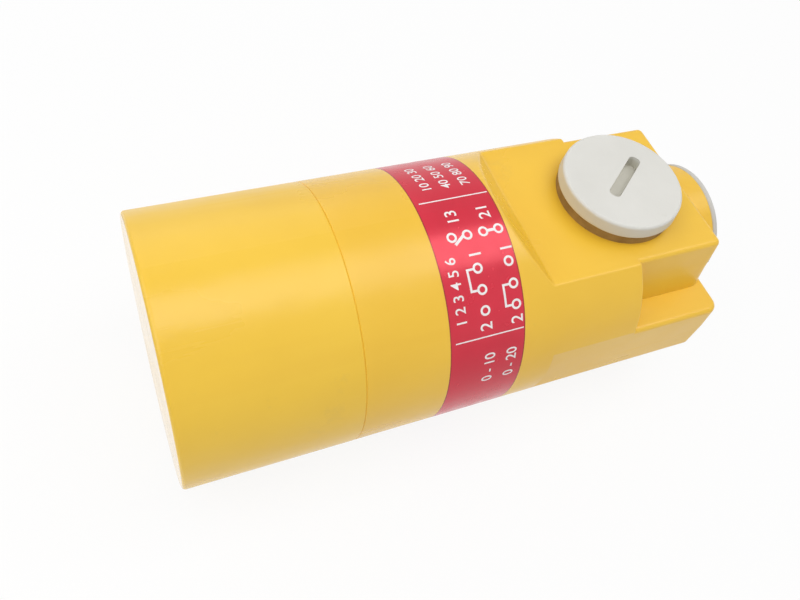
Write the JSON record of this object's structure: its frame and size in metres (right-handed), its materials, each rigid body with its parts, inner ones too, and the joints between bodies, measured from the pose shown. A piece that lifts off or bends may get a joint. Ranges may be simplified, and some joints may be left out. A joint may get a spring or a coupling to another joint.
{
  "type": "capacitive proximity sensor",
  "caption": "Smooth cylindrical capacitive proximity sensor with a flat-topped terminal chamber, a blanking plug, a rear cable gland and a printed band.",
  "frame": {"origin": "centre of the sensing face", "axes": "+X along the barrel from the sensing face to the rear, +Z the normal of the flat top with the plug"},
  "size_m": [0.0919, 0.04, 0.04],
  "materials": {
    "yellow_plastic": "semi-gloss moulded",
    "red_foil": "printed foil",
    "grey_plastic": "moulded",
    "brown_rubber": "matt",
    "black_rubber": "matt",
    "dark_plastic": "moulded",
    "cream_plastic": "moulded",
    "copper_foil": "bright",
    "brass": "turned",
    "tinplate": "tinned",
    "steel": "zinc plated",
    "board": "solder mask",
    "chip_black": "moulded",
    "blue_film": "dipped",
    "can_sleeve": "shrink sleeve",
    "ferrite": "sintered",
    "resistor_body": "lacquered",
    "wire_sleeve": "insulated",
    "blue_plastic": "moulded",
    "white_plastic": "moulded"
  },
  "bodies": {
    "sensor_head": {"front_cap": "yellow_plastic", "threaded_inserts": "brass", "sensing_electrode": "copper_foil", "guard_ring": "copper_foil", "electrode_carrier": "cream_plastic", "oscillator_board": "board", "electrode_lead": "tinplate", "oscillator_parts": "chip_black", "control_ic": "chip_black", "screening_can": "tinplate", "bulkhead": "dark_plastic", "o_ring": "black_rubber", "main_board": "board", "lead_wires": "wire_sleeve", "rectifier": "chip_black", "film_capacitor": "blue_film", "electrolytic": "can_sleeve", "choke": "ferrite", "transistors": "chip_black", "triac": "chip_black", "resistors": "resistor_body", "terminal_carrier": "cream_plastic", "terminal_cages": "brass", "terminal_screws": "steel", "function_link": "brass", "trimmer_body": "blue_plastic"},
    "housing": {"housing": "yellow_plastic", "label": "red_foil", "housing_screws": "steel", "gland_seal": "black_rubber"},
    "plug_carriage": {"plug_gasket": "brown_rubber"},
    "plug": {"blanking_plug": "grey_plastic"},
    "gland_carriage": {"gland_washer": "steel"},
    "gland": {"gland_screw": "grey_plastic"},
    "trimmer": {"trimmer_rotor": "white_plastic"}
  },
  "joints": [
    {"name": "housing_pull", "type": "slide", "parent": "sensor_head", "child": "housing", "axis": [1, 0, 0], "range_m": [0, 0.06]},
    {"name": "plug_lift", "type": "slide", "parent": "housing", "child": "plug_carriage", "axis": [0, 0, 1], "range_m": [0, 0.00705]},
    {"name": "plug_turn", "type": "hinge", "parent": "plug_carriage", "child": "plug", "pos_m": [0.0726, 0, 0.0165], "axis": [0, 0, 1], "range_deg": [0, 1801]},
    {"name": "gland_slide", "type": "slide", "parent": "housing", "child": "gland_carriage", "axis": [1, 0, 0], "range_m": [0, 0.00564]},
    {"name": "gland_turn", "type": "hinge", "parent": "gland_carriage", "child": "gland", "pos_m": [0.0909, 0, 0.0032], "axis": [1, 0, 0], "range_deg": [0, 1441]},
    {"name": "trimmer_turn", "type": "hinge", "parent": "sensor_head", "child": "trimmer", "pos_m": [0.0509, -0.00011, 0], "axis": [0, 0, 1], "range_deg": [-135, 135]}
  ],
  "couplings": [
    {"joint": "plug_turn", "follows": "plug_lift", "rad_per_m": 4453},
    {"joint": "gland_turn", "follows": "gland_slide", "rad_per_m": 4453}
  ]
}
